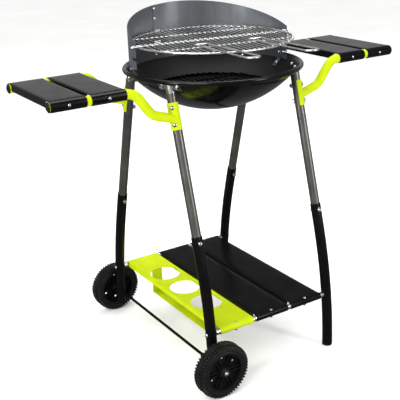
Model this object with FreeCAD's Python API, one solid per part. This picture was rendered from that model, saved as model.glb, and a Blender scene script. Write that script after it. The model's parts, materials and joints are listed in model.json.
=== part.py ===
import FreeCAD, Part
import math
import os

# A round charcoal grill on four splayed legs, with a windscreen, two slatted side shelves,
# a bottom shelf with a bottle rack and two wheels.  Millimetres, +Z up, the wheels at -X,
# the cook stands at -Y.  The origin is on the ground, in the middle of the outer box.

Vec = FreeCAD.Vector
UP = Vec(0, 0, 1)
ORIGIN = Vec(0, 0, 0)

# ---- bowl ----
rim_radius = 241.0          # outside of the rolled rim
rim_height = 798.0          # top of the rolled rim
bowl_depth = 118.0          # rim top to the underside
bowl_sheet = 1.5
bead_radius = 5.0           # middle line of the rolled rim
bead_turn = 244.0           # how far the rim is rolled round, degrees

# ---- legs ----
leg_inset = 47.0            # the legs' plane inside the outside of the rim
leg_top_y = 105.0
leg_top_drop = 18.0         # the upper tube's top below the bowl wall above it
leg_joint = (200.0, 412.0)  # y and z where the upper tube enters the lower one
upper_tube = 25.0
leg_wall = 1.5
socket_length = 60.0        # straight top of the lower tube
socket_overlap = 45.0       # how far the upper tube goes in
joint_bolt_drop = 18.0
wheel_leg_end = 36.0        # the wheel side legs stop this far above the ground
foot_cap_height = 6.0
foot_plug_length = 16.0

# ---- brackets between the legs and the bowl ----
bracket_sheet = 2.5
bracket_width = 62.0
bracket_height = 26.0
bracket_stub = 20.0         # length inside the leg
bracket_stub_over = 40.0    # length above the leg, before it is cut to the bowl
bracket_blank = 60.0        # thickness of the block that the plate is cut from
bracket_bolt_spread = 22.0

# ---- windscreen and cooking grid ----
grill_turn = -8.0           # the screen and the grid sit turned this much about Z
screen_inset = 22.0         # inside of the screen from the outside of the rim
screen_sheet = 1.2
screen_back_rise = 140.0    # top of the screen above the rim, at the back
screen_front_rise = 82.0    # the same, in the middle plane
screen_overrun = 14.0       # how far the ends pass the middle plane
screen_seam_angle = 111.0
screen_seam_lap = 14.0
seam_screw_inset = 10.0     # the outer seam screws from the screen's edges
screen_strap_width = 16.0
screen_strap_sheet = 2.0
screen_strap_y = 22.0       # the straps stand this far behind the middle plane
screen_strap_screw = 16.0   # a strap's upper screw above the screen's lower edge
screen_strap_above = 12.0   # the strap's top above that screw
screen_strap_run = 19.0     # how far its lower leg runs inwards along the bowl
grid_gap = 3.25             # the grid's ring from the screen
grid_rise = 63.0            # the ring's middle line above the rim, top position
grid_step = 30.0            # between the three grid heights
grid_levels = 3
ring_wire = 5.5
bar_wire = 3.2
cross_wire = 4.6
bar_pitch = 14.0
cross_spread = 104.0
weld_depth = 0.6            # how deep two welded wires sink into each other
lug_width = 14.0            # between the two wires of a lug
lug_reach = 17.0            # how far a lug passes the ring
lug_tail = 6.0              # how far a wire passes the cross wire it is welded to
notch_gap = 2.0             # round a lug in its notch or slot
back_lug_x = -73.0
back_lug_reach = 23.0       # how far the back lug passes the ring
handle_x = 76.0
handle_width = 34.0         # between the two wires of a handle
handle_out = 172.0          # from the ring to the handle's tip
handle_tail = 10.0          # how far its wires pass the cross wire at the front
handle_rise = 12.0

# ---- charcoal grate ----
grate_radius = 163.0
grate_ring_wire = 5.0
grate_bar_wire = 4.0
grate_pitch = 16.0
grate_cross_spread = 80.0

# ---- side shelves ----
arm_tube = 24.0
arm_wall = 1.5
arm_side = 4.0              # the arm's plane outside the leg, at the saddle
arm_drop = 14.0             # the arm's middle line below the rim
arm_overhang = 1.5          # the arm's end past the outer slat
arm_bend_inset = 24.0       # the arm starts to dive this far before the inner slat
arm_dip = (66.0, 62.0)      # the second bend, out from the leg and down from the arm
arm_foot = (6.0, 80.0)      # where the arm reaches the leg, measured likewise
arm_bend_radius = 42.0
arm_cap_overhang = 0.8
arm_cap_head = 5.0
arm_cap_plug = 16.0
saddle_sheet = 2.5
saddle_bolt_edge = 13.0     # from a saddle bolt to the saddle's end
saddle_drop = 76.0          # the saddle's middle below the arm
saddle_turn = 45.0          # which way the saddle faces, from X towards Y
saddle_wrap = 80.0          # each side of that direction
saddle_bolt_gap = 3.0       # from the arm to a saddle bolt's head
slat_sheet = 1.5
side_slat_width = 90.0
side_slat_gap = 12.0
side_slat_out = 136.0       # the inner slat's near edge, out from the leg
side_lip = 18.0
slat_lip_gap = 4.0          # between the end of a lip and the tube
roll_end = 250.0            # the slat is rolled round the tube to this angle

# ---- bottom shelf ----
rod_size = 16.0
rod_wall = 1.5
rod_height = 158.0
rod_sleeve_length = 22.0
rod_bolt_reach = 20.0       # how far a rod's bolt goes into the rod
shelf_end_gap = 11.7        # the outer slats from the legs
shelf_slat_gap = 12.0
shelf_lip = 14.0
bottle_hole = 86.0
bottle_pitch = 112.0
strap_width = 34.0
strap_sheet = 2.0
strap_end_gap = 5.0         # the last hole's edge from the end of the bottle rest
strap_flange = 20.0
strap_height = 90.0         # underside of the bottle rest

# ---- wheels ----
wheel_radius = 75.0
wheel_width = 38.0
tread_depth = 3.0
tread_lugs = 44
tread_top_share = 0.45      # share of the pitch that a lug's top takes
tread_foot_share = 0.56
tread_shoulder = 12.0
tread_band_drop = 1.8       # the plain middle band below the lugs' tops
tyre_depth = 21.0           # from the lugs' tops to the hub
hub_wall = 5.0
hub_web = 4.0
hub_web_depth = 13.0        # the web lies this far inside the outer face
hub_boss = 14.0
spoke_count = 6
spoke_sheet = 2.6
spoke_spread = 9.0
spoke_height = 8.0
hub_hole = 7.0
hub_hole_circle = 37.0
axle_size = 8.0
washer_size = 20.0
washer_sheet = 2.5
axle_nut_flats = 13.0
axle_nut_height = 6.0
axle_nut_cap = 11.2
axle_nut_dome = 5.0

# ---- fasteners ----
bolt_size = 6.0
bolt_head = 12.0
bolt_head_height = 3.4
bolt_tail = 2.0             # how far a bolt passes its nut
nut_flats = 10.0
nut_height = 5.0
screw_size = 4.0
screw_head = 8.0
screw_head_height = 2.4
screw_tail = 1.0
side_screw_length = 8.0
small_nut_flats = 7.0
small_nut_height = 3.2
rivet_size = 4.0
rivet_head = 8.0
rivet_head_height = 1.6

# ---- clearances ----
hole_clearance = 0.25       # a bolt in its hole, on the radius
socket_gap = 0.3            # the upper tube in the lower one, on the radius
sheet_gap = 0.10            # between two parts that are bolted face to face
slide_in_gap = 0.10         # a plug in its tube, on the radius
roll_gap = 0.20             # a rolled slat round its tube, on the radius
screen_seat = 0.7           # the screen's lower edge above the bowl wall
grate_seat = 0.3            # the grate's ring off the bowl wall
axle_run = 0.08             # the hub on the axle, on the radius
wheel_play = 0.30           # a wheel beside its washers
leg_to_washer = 0.8
wall_drill = 9.0            # how far a drill passes a wall, each way
tube_drill = 60.0           # how far a drill passes a tube's middle, each way


# ---- small geometry helpers ----
def unit(vector):
    return vector * (1.0 / vector.Length)


def along(shape, point, direction):
    """Move a shape drawn on +Z at the origin onto a point and a direction."""
    moved = shape.copy()
    moved.Placement = FreeCAD.Placement(point, FreeCAD.Rotation(UP, direction))
    return moved


def cylinder(radius, length, point=ORIGIN, direction=UP):
    return Part.makeCylinder(radius, length, point, direction)


def ring(outer, inner, length, point=ORIGIN, direction=UP):
    return cylinder(outer, length, point, direction).cut(cylinder(inner, length, point, direction))


def fuse(shapes):
    return shapes[0].multiFuse(shapes[1:]).removeSplitter()


def polygon(points):
    return Part.Face(Part.makePolygon(points + [points[0]]))


def mirrored(shape, x_side, y_side):
    """A copy of a shape drawn for the +X +Y corner, at another corner."""
    copy = shape.copy()
    if x_side < 0:
        copy = copy.mirror(ORIGIN, Vec(1, 0, 0))
    if y_side < 0:
        copy = copy.mirror(ORIGIN, Vec(0, 1, 0))
    return copy


def bent_path(points, radius):
    """Straight runs through the points, joined by tangent arcs."""
    edges = []
    start = points[0]
    for before, corner, after in zip(points, points[1:], points[2:]):
        into = unit(corner - before)
        out = unit(after - corner)
        half = into.getAngle(out) / 2
        setback = radius * math.tan(half)
        inward = unit(out - into)
        arc_start = corner - into * setback
        arc_end = corner + out * setback
        arc_middle = corner + inward * (radius / math.cos(half) - radius)
        edges.append(Part.LineSegment(start, arc_start).toShape())
        edges.append(Part.Arc(arc_start, arc_middle, arc_end).toShape())
        start = arc_end
    edges.append(Part.LineSegment(start, points[-1]).toShape())
    return Part.Wire(edges)


def sweep(path, radius):
    """A round bar along a path."""
    first = path.Edges[0]
    start = first.valueAt(first.FirstParameter)
    direction = first.tangentAt(first.FirstParameter)
    section = Part.Wire([Part.makeCircle(radius, start, direction)])
    return path.makePipeShell([section], True, True)


def strip(points, thickness):
    """Closed outline of a bent sheet: the points are one face, the sheet lies to their left."""
    offset = []
    for index, point in enumerate(points):
        before = points[max(index - 1, 0)]
        after = points[min(index + 1, len(points) - 1)]
        into = unit(point - before) if index > 0 else unit(after - point)
        out = unit(after - point) if index < len(points) - 1 else into
        left = unit(Vec(-into.y, into.x, 0) + Vec(-out.y, out.x, 0))
        reach = thickness / left.dot(Vec(-into.y, into.x, 0))
        offset.append(point + left * reach)
    return points + offset[::-1]


# ---- fasteners: drawn with the bearing face at z = 0, the head above it ----
def dome(radius, height):
    """A domed head, a slice of a ball."""
    ball = (radius ** 2 + height ** 2) / (2 * height)
    cap = Part.makeSphere(ball, Vec(0, 0, height - ball))
    return cap.common(cylinder(2 * radius, height))


def domed_bolt(size, head, head_height, length):
    shank = cylinder(size / 2, length, Vec(0, 0, -length))
    return fuse([dome(head / 2, head_height), shank])


def hex_nut(flats, height, bore, far_side):
    """A nut that bears at z = -far_side and reaches further down."""
    corners = []
    for step in range(6):
        angle = math.radians(60 * step)
        reach = flats / math.sqrt(3)
        corners.append(Vec(reach * math.cos(angle), reach * math.sin(angle), -far_side - height))
    body = polygon(corners).extrude(Vec(0, 0, height))
    return body.cut(cylinder(bore, height, Vec(0, 0, -far_side - height)))


def frame_bolt(grip):
    """The 6 mm bolt that goes right through, as long as its grip, nut and a little more."""
    return domed_bolt(bolt_size, bolt_head, bolt_head_height, grip + nut_height + bolt_tail)


def frame_nut(grip):
    return hex_nut(nut_flats, nut_height, bolt_size / 2, grip)


def small_bolt(grip):
    return domed_bolt(screw_size, screw_head, screw_head_height, grip + small_nut_height + screw_tail)


def small_nut(grip):
    return hex_nut(small_nut_flats, small_nut_height, screw_size / 2, grip)


def bolt_hole(point, direction, reach=tube_drill):
    radius = bolt_size / 2 + hole_clearance
    return cylinder(radius, 2 * reach, point - direction * reach, direction)


def screw_hole(point, direction, reach=wall_drill):
    radius = screw_size / 2 + hole_clearance
    return cylinder(radius, 2 * reach, point - direction * reach, direction)


# ---- places that several parts share ----
def dish_radius():
    """Outside radius of the dished wall, which ends in the middle of the rolled rim."""
    fall = bowl_depth - bowl_sheet
    reach = rim_radius - bead_radius - bowl_sheet / 2
    return (fall ** 2 + reach ** 2) / (2 * fall) - bead_radius + bowl_sheet / 2


sphere_radius = dish_radius()
sphere_height = rim_height - bowl_depth + sphere_radius
sphere_centre = Vec(0, 0, sphere_height)
leg_x = rim_radius - leg_inset
leg_top_z = sphere_height - math.sqrt(sphere_radius ** 2 - leg_x ** 2 - leg_top_y ** 2) - leg_top_drop
lower_tube = upper_tube + 2 * (leg_wall + socket_gap)
corners = [("left_back", -1, 1), ("left_front", -1, -1), ("right_back", 1, 1), ("right_front", 1, -1)]

leg_lean = math.atan2(leg_joint[0] - leg_top_y, leg_top_z - leg_joint[1])
leg_down = Vec(0, math.sin(leg_lean), -math.cos(leg_lean))
leg_up = leg_down * -1
leg_across = Vec(0, math.cos(leg_lean), math.sin(leg_lean))
top_point = Vec(leg_x, leg_top_y, leg_top_z)
joint_point = Vec(leg_x, leg_joint[0], leg_joint[1])
socket_end = joint_point + leg_down * socket_length
leg_bend_radius = socket_end.z / math.sin(leg_lean)
leg_foot_y = socket_end.y + leg_bend_radius * (1 - math.cos(leg_lean))


def leg_point(height):
    """Middle of the bent lower tube at a height above the ground."""
    inward = leg_bend_radius - math.sqrt(leg_bend_radius ** 2 - height ** 2)
    return Vec(leg_x, leg_foot_y - inward, height)


rod_y = leg_point(rod_height).y
arm_height = rim_height - arm_drop
saddle_point = top_point + leg_down * ((leg_top_z - arm_height + saddle_drop) / math.cos(leg_lean))
arm_y = saddle_point.y + arm_side
side_slat_start = leg_x + side_slat_out
arm_end_x = side_slat_start + 2 * side_slat_width + side_slat_gap + arm_overhang
saddle_out = Vec(math.cos(math.radians(saddle_turn)), math.sin(math.radians(saddle_turn)), 0)
saddle_out = unit(saddle_out - leg_up * saddle_out.dot(leg_up))
saddle_bolt_spread = arm_tube / 2 + bolt_head / 2 + saddle_bolt_gap
saddle_length = 2 * (saddle_bolt_spread + saddle_bolt_edge)
saddle_inner = upper_tube / 2 + sheet_gap
saddle_outer = saddle_inner + saddle_sheet


def sphere_hit():
    """Where the line of a leg meets the bowl."""
    to_centre = sphere_centre - top_point
    reach = to_centre.dot(leg_up)
    miss = (to_centre - leg_up * reach).Length
    return top_point + leg_up * (reach - math.sqrt(sphere_radius ** 2 - miss ** 2))


bracket_point = sphere_hit()
bracket_out = unit(bracket_point - sphere_centre)
bracket_side = unit(bracket_out.cross(UP))
bracket_rise = bracket_side.cross(bracket_out)


def bracket_bolt_places():
    """Point on the outside of the bowl and outward direction of each bracket bolt."""
    places = []
    for side in (-1, 1):
        spot = bracket_point + bracket_side * (side * bracket_bolt_spread)
        direction = unit(spot - sphere_centre)
        places.append((sphere_centre + direction * sphere_radius, direction))
    return places


# ---- bowl ----
def bead_frame():
    """Angle of the wall at the rim, and the middle of the rolled bead as radius and height."""
    bead_x = rim_radius - bead_radius - bowl_sheet / 2
    wall_middle = sphere_radius - bowl_sheet / 2
    wall_angle = math.asin(bead_x / (wall_middle + bead_radius))
    bead_z = sphere_height - (wall_middle + bead_radius) * math.cos(wall_angle)
    return wall_angle, bead_x, bead_z


def arc_in_section(centre, radius, start, end):
    """Arc in the X Z plane, angles in degrees from +X towards +Z."""
    points = []
    for angle in (start, (start + end) / 2, end):
        a = math.radians(angle)
        points.append(Vec(centre[0] + radius * math.cos(a), 0, centre[1] + radius * math.sin(a)))
    return Part.Arc(points[0], points[1], points[2]).toShape()


def closed_section(edges):
    """Face bounded by edges that are joined end to end with straight lines."""
    chain = []
    for edge, following in zip(edges, edges[1:] + edges[:1]):
        chain.append(edge)
        end = edge.Vertexes[-1].Point
        start = following.Vertexes[0].Point
        if end.distanceToPoint(start) > 1e-6:
            chain.append(Part.LineSegment(end, start).toShape())
    return Part.Face(Part.Wire(chain))


def make_bowl():
    wall_angle, bead_x, bead_z = bead_frame()
    wall_end = math.degrees(wall_angle) - 90
    bead_start = wall_end + 180
    outer_wall = arc_in_section((0, sphere_height), sphere_radius, -90, wall_end)
    inner_wall = arc_in_section((0, sphere_height), sphere_radius - bowl_sheet, wall_end, -90)
    inner_bead = bead_radius - bowl_sheet / 2
    outer_bead = bead_radius + bowl_sheet / 2
    bead_under = arc_in_section((bead_x, bead_z), inner_bead, bead_start, bead_start - bead_turn)
    bead_over = arc_in_section((bead_x, bead_z), outer_bead, bead_start - bead_turn, bead_start)
    section = closed_section([outer_wall, bead_under, bead_over, inner_wall])
    bowl = section.revolve(ORIGIN, UP, 360)
    holes = []
    for name, x_side, y_side in corners:
        for spot, direction in bracket_bolt_places():
            holes.append(mirrored(bolt_hole(spot, direction, wall_drill), x_side, y_side))
    for x_side in (-1, 1):
        spot, direction = strap_bowl_place(x_side)
        holes.append(turned(screw_hole(spot, direction)))
    return bowl.cut(Part.makeCompound(holes))


# ---- legs and brackets ----
def make_bracket():
    block = Part.makeBox(bracket_width, bracket_height, bracket_blank,
                         Vec(-bracket_width / 2, -bracket_height / 2, -bracket_blank / 2))
    turn = FreeCAD.Matrix(bracket_side.x, bracket_rise.x, bracket_out.x, bracket_point.x,
                          bracket_side.y, bracket_rise.y, bracket_out.y, bracket_point.y,
                          bracket_side.z, bracket_rise.z, bracket_out.z, bracket_point.z,
                          0, 0, 0, 1)
    block.Placement = FreeCAD.Placement(turn)
    face = sphere_radius + sheet_gap
    plate = block.common(Part.makeSphere(face + bracket_sheet, sphere_centre))
    stub_radius = upper_tube / 2 - leg_wall - slide_in_gap
    stub_start = top_point + leg_down * bracket_stub
    stub = cylinder(stub_radius, bracket_stub + bracket_stub_over, stub_start, leg_up)
    bracket = plate.fuse(stub).cut(Part.makeSphere(face, sphere_centre))
    bracket = max(bracket.Solids, key=lambda solid: solid.Volume)
    for spot, direction in bracket_bolt_places():
        bracket = bracket.cut(bolt_hole(spot, direction, wall_drill))
    return bracket


def saddle_bolt_places():
    return [saddle_point + leg_up * (side * saddle_bolt_spread) for side in (-1, 1)]


def joint_bolt_place():
    return joint_point + leg_down * joint_bolt_drop


def make_upper_leg():
    length = (top_point - joint_point).Length + socket_overlap
    tube = ring(upper_tube / 2, upper_tube / 2 - leg_wall, length, top_point, leg_down)
    for spot in saddle_bolt_places():
        tube = tube.cut(bolt_hole(spot, saddle_out))
    return tube.cut(bolt_hole(joint_bolt_place(), leg_across))


def make_lower_leg(end_height):
    bend_end = leg_point(end_height)
    bend_middle = leg_point((socket_end.z + end_height) / 2)
    path = Part.Wire([Part.LineSegment(joint_point, socket_end).toShape(),
                      Part.Arc(socket_end, bend_middle, bend_end).toShape()])
    tube = sweep(path, lower_tube / 2).cut(sweep(path, lower_tube / 2 - leg_wall))
    tube = tube.cut(bolt_hole(joint_bolt_place(), leg_across))
    return tube.cut(bolt_hole(leg_point(rod_height), Vec(1, 0, 0)))


def drill_for_axle(leg):
    """Cross hole for the axle through a wheel side leg."""
    start = Vec(-leg_x, -2 * leg_foot_y, wheel_radius)
    return leg.cut(cylinder(axle_size / 2 + slide_in_gap, 4 * leg_foot_y, start, Vec(0, 1, 0)))


def make_foot_cap():
    """Plug in the end of a leg with a rounded sole of the tube's own size."""
    base = leg_point(0)
    sole = cylinder(lower_tube / 2, foot_cap_height, base)
    sole = sole.makeFillet(foot_cap_height / 3, [sole.Edges[2]])
    plug_radius = lower_tube / 2 - leg_wall - 3 * slide_in_gap
    plug = cylinder(plug_radius, foot_plug_length, base + UP * foot_cap_height)
    return fuse([sole, plug])


# ---- side shelves ----
def make_arm():
    points = [Vec(arm_end_x, arm_y, arm_height),
              Vec(side_slat_start - arm_bend_inset, arm_y, arm_height),
              Vec(leg_x + arm_dip[0], arm_y, arm_height - arm_dip[1]),
              Vec(leg_x + arm_foot[0], arm_y, arm_height - arm_foot[1])]
    path = bent_path(points, arm_bend_radius)
    tube = sweep(path, arm_tube / 2).cut(sweep(path, arm_tube / 2 - arm_wall))
    clear_start = saddle_point - leg_up * saddle_length
    tube = tube.cut(cylinder(saddle_inner + saddle_sheet / 2, 2 * saddle_length, clear_start, leg_up))
    tube = max(tube.Solids, key=lambda solid: solid.Volume)
    arm = fuse([tube, make_saddle()])
    for spot in saddle_bolt_places():
        arm = arm.cut(bolt_hole(spot, saddle_out))
    for x in side_slat_middles():
        spot = Vec(x, arm_y + arm_tube / 2, arm_height)
        arm = arm.cut(screw_hole(spot, Vec(0, 1, 0)))
    return arm


def make_saddle():
    """Sheet wrapped part of the way round the upper leg."""
    start = saddle_point - leg_up * (saddle_length / 2)
    shell = ring(saddle_outer, saddle_inner, saddle_length, start, leg_up)
    sideways = unit(leg_up.cross(saddle_out))
    reach = saddle_outer * 2
    limit = math.radians(saddle_wrap)
    corner = saddle_out * (reach * math.cos(limit))
    wedge = polygon([start, start + corner - sideways * (reach * math.sin(limit)),
                     start + corner + saddle_out * reach - sideways * reach,
                     start + corner + saddle_out * reach + sideways * reach,
                     start + corner + sideways * (reach * math.sin(limit))])
    return shell.common(wedge.extrude(leg_up * saddle_length))


def make_arm_cap():
    """Black end cap, a domed head and a plug."""
    outward = Vec(1, 0, 0)
    end = Vec(arm_end_x, arm_y, arm_height)
    head = along(dome(arm_tube / 2 + arm_cap_overhang, arm_cap_head), end, outward)
    plug_radius = arm_tube / 2 - arm_wall - slide_in_gap
    plug = cylinder(plug_radius, arm_cap_plug, end - outward * arm_cap_plug, outward)
    return fuse([head, plug])


def side_slat_middles():
    first = side_slat_start + side_slat_width / 2
    return [first, first + side_slat_width + side_slat_gap]


def slat_section(tube_size, half_span, height):
    """Section across a slat: flat top, both ends rolled down round the tubes."""
    inner = tube_size / 2 + roll_gap
    outer = inner + slat_sheet

    def roll(side, radius, start, end):
        points = []
        for angle in (start, (start + end) / 2, end):
            a = math.radians(angle)
            points.append(Vec(0, side * (half_span + radius * math.cos(a)), height + radius * math.sin(a)))
        return Part.Arc(points[0], points[1], points[2]).toShape()

    far_end = 180 - roll_end
    edges = [roll(1, outer, far_end, 90), roll(-1, outer, 90, far_end),
             roll(-1, inner, far_end, 90), roll(1, inner, 90, far_end)]
    return closed_section(edges)


def make_slat(tube_size, half_span, height, middle, width, lip):
    """A sheet slat along Y with a downturned lip on each long edge."""
    section = slat_section(tube_size, half_span, height)
    section.translate(Vec(middle - width / 2, 0, 0))
    pieces = [section.extrude(Vec(width, 0, 0))]
    top = height + tube_size / 2 + roll_gap + slat_sheet
    lip_half = half_span - tube_size / 2 - slat_lip_gap
    for x in (middle - width / 2, middle + width / 2 - slat_sheet):
        pieces.append(Part.makeBox(slat_sheet, 2 * lip_half, lip, Vec(x, -lip_half, top - lip)))
    return fuse(pieces)


def make_side_slat(middle):
    slat = make_slat(arm_tube, arm_y, arm_height, middle, side_slat_width, side_lip)
    face = arm_y + arm_tube / 2 + roll_gap
    for side in (-1, 1):
        slat = slat.cut(screw_hole(Vec(middle, side * face, arm_height), Vec(0, side, 0)))
    return slat


def side_slat_screw_set():
    """One short screw in each roll of each side slat."""
    screws = []
    face = arm_y + arm_tube / 2 + roll_gap + slat_sheet
    screw = domed_bolt(screw_size, screw_head, screw_head_height, side_screw_length)
    for x_side in (-1, 1):
        for x in side_slat_middles():
            for side in (-1, 1):
                screws.append(along(screw, Vec(x_side * x, side * face, arm_height), Vec(0, side, 0)))
    return Part.makeCompound(screws)


# ---- bottom shelf ----
slat_steps = (-1, 0, 1)
shelf_room = 2 * (leg_x - lower_tube / 2 - shelf_end_gap)
shelf_slat_width = (shelf_room + shelf_slat_gap) / len(slat_steps) - shelf_slat_gap
strap_half_length = bottle_pitch + bottle_hole / 2 + strap_end_gap


def shelf_slat_middles():
    pitch = shelf_slat_width + shelf_slat_gap
    return [pitch * step for step in slat_steps]


def make_rod(side):
    """Tube between two lower legs, plugged at its ends for the bolts."""
    half = leg_x - lower_tube / 2 - sheet_gap
    start = Vec(-half, side * rod_y, rod_height)
    rod = ring(rod_size / 2, rod_size / 2 - rod_wall, 2 * half, start, Vec(1, 0, 0))
    for x in shelf_slat_middles():
        rod = rod.cut(screw_hole(Vec(x, side * rod_y, rod_height), UP, rod_size))
    return rod


def rod_bolt_set():
    """Domed bolts through the legs into the ends of the two rods."""
    bolts = []
    for name, x_side, y_side in corners:
        spot = Vec(x_side * (leg_x + lower_tube / 2), y_side * rod_y, rod_height)
        length = lower_tube + rod_bolt_reach
        bolt = domed_bolt(bolt_size, bolt_head, bolt_head_height, length)
        bolts.append(along(bolt, spot, Vec(x_side, 0, 0)))
    return Part.makeCompound(bolts)


def rod_plug_set():
    """Threaded sleeves pressed into the rod ends."""
    sleeves = []
    outer = rod_size / 2 - rod_wall
    for name, x_side, y_side in corners:
        end = x_side * (leg_x - lower_tube / 2 - sheet_gap)
        start = Vec(end, y_side * rod_y, rod_height)
        sleeves.append(ring(outer, bolt_size / 2, rod_sleeve_length, start, Vec(-x_side, 0, 0)))
    return Part.makeCompound(sleeves)


def make_shelf_slat(middle):
    slat = make_slat(rod_size, rod_y, rod_height, middle, shelf_slat_width, shelf_lip)
    top = rod_height + rod_size / 2
    for side in (-1, 1):
        slat = slat.cut(screw_hole(Vec(middle, side * rod_y, top), UP))
    return slat


def shelf_under():
    """Underside of the shelf slats' flat top."""
    return rod_height + rod_size / 2 + roll_gap


def strap_rivet_places(middle):
    reach = strap_half_length + strap_sheet + strap_flange / 2
    spread = strap_width / 4
    return [Vec(middle + dx, side * reach, 0) for dx in (-spread, spread) for side in (-1, 1)]


def make_bottle_slat(middle):
    slat = make_shelf_slat(middle)
    for step in (-1, 0, 1):
        spot = Vec(middle, step * bottle_pitch, rod_height - bottle_hole / 2)
        slat = slat.cut(cylinder(bottle_hole / 2, bottle_hole, spot))
    for spot in strap_rivet_places(middle):
        slat = slat.cut(screw_hole(Vec(spot.x, spot.y, shelf_under()), UP))
    return slat


def make_bottle_strap(middle):
    """U shaped strip under the bottle holes, with a flange at each end."""
    top = shelf_under() - sheet_gap
    half = strap_half_length
    outer = [Vec(-half - strap_sheet - strap_flange, top - strap_sheet, 0),
             Vec(-half - strap_sheet, top - strap_sheet, 0),
             Vec(-half - strap_sheet, strap_height, 0),
             Vec(half + strap_sheet, strap_height, 0),
             Vec(half + strap_sheet, top - strap_sheet, 0),
             Vec(half + strap_sheet + strap_flange, top - strap_sheet, 0)]
    flat = [Vec(middle - strap_width / 2, point.x, point.y) for point in strip(outer, strap_sheet)]
    strap = polygon(flat).extrude(Vec(strap_width, 0, 0))
    for spot in strap_rivet_places(middle):
        strap = strap.cut(screw_hole(Vec(spot.x, spot.y, shelf_under()), UP))
    return strap


def strap_rivet_set(middle):
    """Rivets with a domed head on top and a formed head below."""
    rivets = []
    top = shelf_under() + slat_sheet
    grip = slat_sheet + sheet_gap + strap_sheet
    shank = domed_bolt(rivet_size, rivet_head, rivet_head_height, grip + rivet_head_height / 2)
    tail = dome(rivet_head / 2, rivet_head_height)
    for spot in strap_rivet_places(middle):
        place = Vec(spot.x, spot.y, top)
        rivets.append(fuse([along(shank, place, UP), along(tail, place - UP * grip, UP * -1)]))
    return Part.makeCompound(rivets)


def shelf_screw_grip():
    return rod_size + 2 * (roll_gap + slat_sheet)


def shelf_screw_places():
    top = rod_height + rod_size / 2 + roll_gap + slat_sheet
    return [Vec(x, side * rod_y, top) for x in shelf_slat_middles() for side in (-1, 1)]


# ---- windscreen ----
def turned(shape):
    """The windscreen and the grid are drawn square, then turned together about Z."""
    copy = shape.copy()
    copy.rotate(ORIGIN, UP, grill_turn)
    return copy


def sphere_inner_at(radius):
    """Height of the bowl's inner face at a distance from the middle."""
    return sphere_height - math.sqrt((sphere_radius - bowl_sheet) ** 2 - radius ** 2)


screen_radius = rim_radius - screen_inset
left_sheet_radius = screen_radius + screen_sheet + sheet_gap
screen_bottom = sphere_inner_at(left_sheet_radius + screen_sheet) + screen_seat
screen_back_top = rim_height + screen_back_rise
screen_front_top = rim_height + screen_front_rise
strap_screw_height = screen_bottom + screen_strap_screw
strap_top = strap_screw_height + screen_strap_above
grid_radius = screen_radius - grid_gap - ring_wire / 2
grid_height = rim_height + grid_rise
grid_heights = [grid_height - grid_step * level for level in range(grid_levels)]


def strap_line(x_side):
    """Outer face of a screen strap as distance from the middle and height, top to bottom."""
    face = screen_radius if x_side > 0 else left_sheet_radius
    edge = screen_strap_y + screen_strap_width / 2
    side = chord(face, edge) - sheet_gap
    seat = 3 * sheet_gap
    bend = Vec(side, sphere_inner_at(math.hypot(side, edge)) + seat, 0)
    low = screen_radius - screen_strap_run
    end = Vec(low, sphere_inner_at(math.hypot(low, edge)) + seat, 0)
    return [Vec(side, strap_top, 0), bend, end]


def make_screen_strap(x_side):
    """Small bent strip that holds an end of the screen down to the bowl wall."""
    outline = strip(strap_line(x_side)[::-1], screen_strap_sheet)
    edge = screen_strap_y - screen_strap_width / 2
    flat = [Vec(x_side * point.x, edge, point.y) for point in outline]
    strap = polygon(flat).extrude(Vec(0, screen_strap_width, 0))
    spot, direction = strap_bowl_place(x_side)
    strap = strap.cut(screw_hole(spot, direction))
    return strap.cut(screw_hole(strap_screen_place(x_side)[0], Vec(1, 0, 0)))


def strap_bowl_place(x_side):
    """Where the lower screw's head bears on the strap, and its outward direction."""
    line = strap_line(x_side)
    middle = (line[1] + line[2]) * 0.5
    spot = Vec(x_side * middle.x, screen_strap_y, middle.y)
    direction = unit(spot - sphere_centre)
    return spot - direction * (screen_strap_sheet + 3 * sheet_gap), direction


def strap_screen_place(x_side):
    """Where the strap's upper screw passes the strap's inner face, and its outward direction."""
    side = strap_line(x_side)[0].x - screen_strap_sheet
    return Vec(x_side * side, screen_strap_y, strap_screw_height), Vec(x_side, 0, 0)


def seam_places():
    """Point on the inside of the screen and outward direction of each seam screw."""
    angle = math.radians(screen_seam_angle)
    outward = Vec(math.cos(angle), math.sin(angle), 0)
    top = screen_top_at(outward.y * screen_radius)
    heights = [top - seam_screw_inset, (top + grid_height) / 2, screen_bottom + seam_screw_inset]
    return [(outward * (screen_radius - sheet_gap) + UP * height, outward) for height in heights]


def screen_top_at(y):
    return screen_front_top + (screen_back_top - screen_front_top) * y / screen_radius


def make_screen_sheet(inner, start, end):
    """Part of an upright cylinder between two angles, its top cut on a slope."""
    outline = [arc_in_section((0, 0), inner + screen_sheet, start, end),
               arc_in_section((0, 0), inner, end, start)]
    section = closed_section(outline)
    section.rotate(ORIGIN, Vec(1, 0, 0), -90)
    section.translate(Vec(0, 0, screen_bottom))
    sheet = section.extrude(Vec(0, 0, screen_back_top))
    reach = 2 * screen_radius
    slope = polygon([Vec(-reach, -reach, screen_top_at(-reach)), Vec(-reach, -reach, 2 * screen_back_top),
                     Vec(-reach, reach, 2 * screen_back_top), Vec(-reach, reach, screen_top_at(reach))])
    return sheet.cut(slope.extrude(Vec(2 * reach, 0, 0)))


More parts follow.
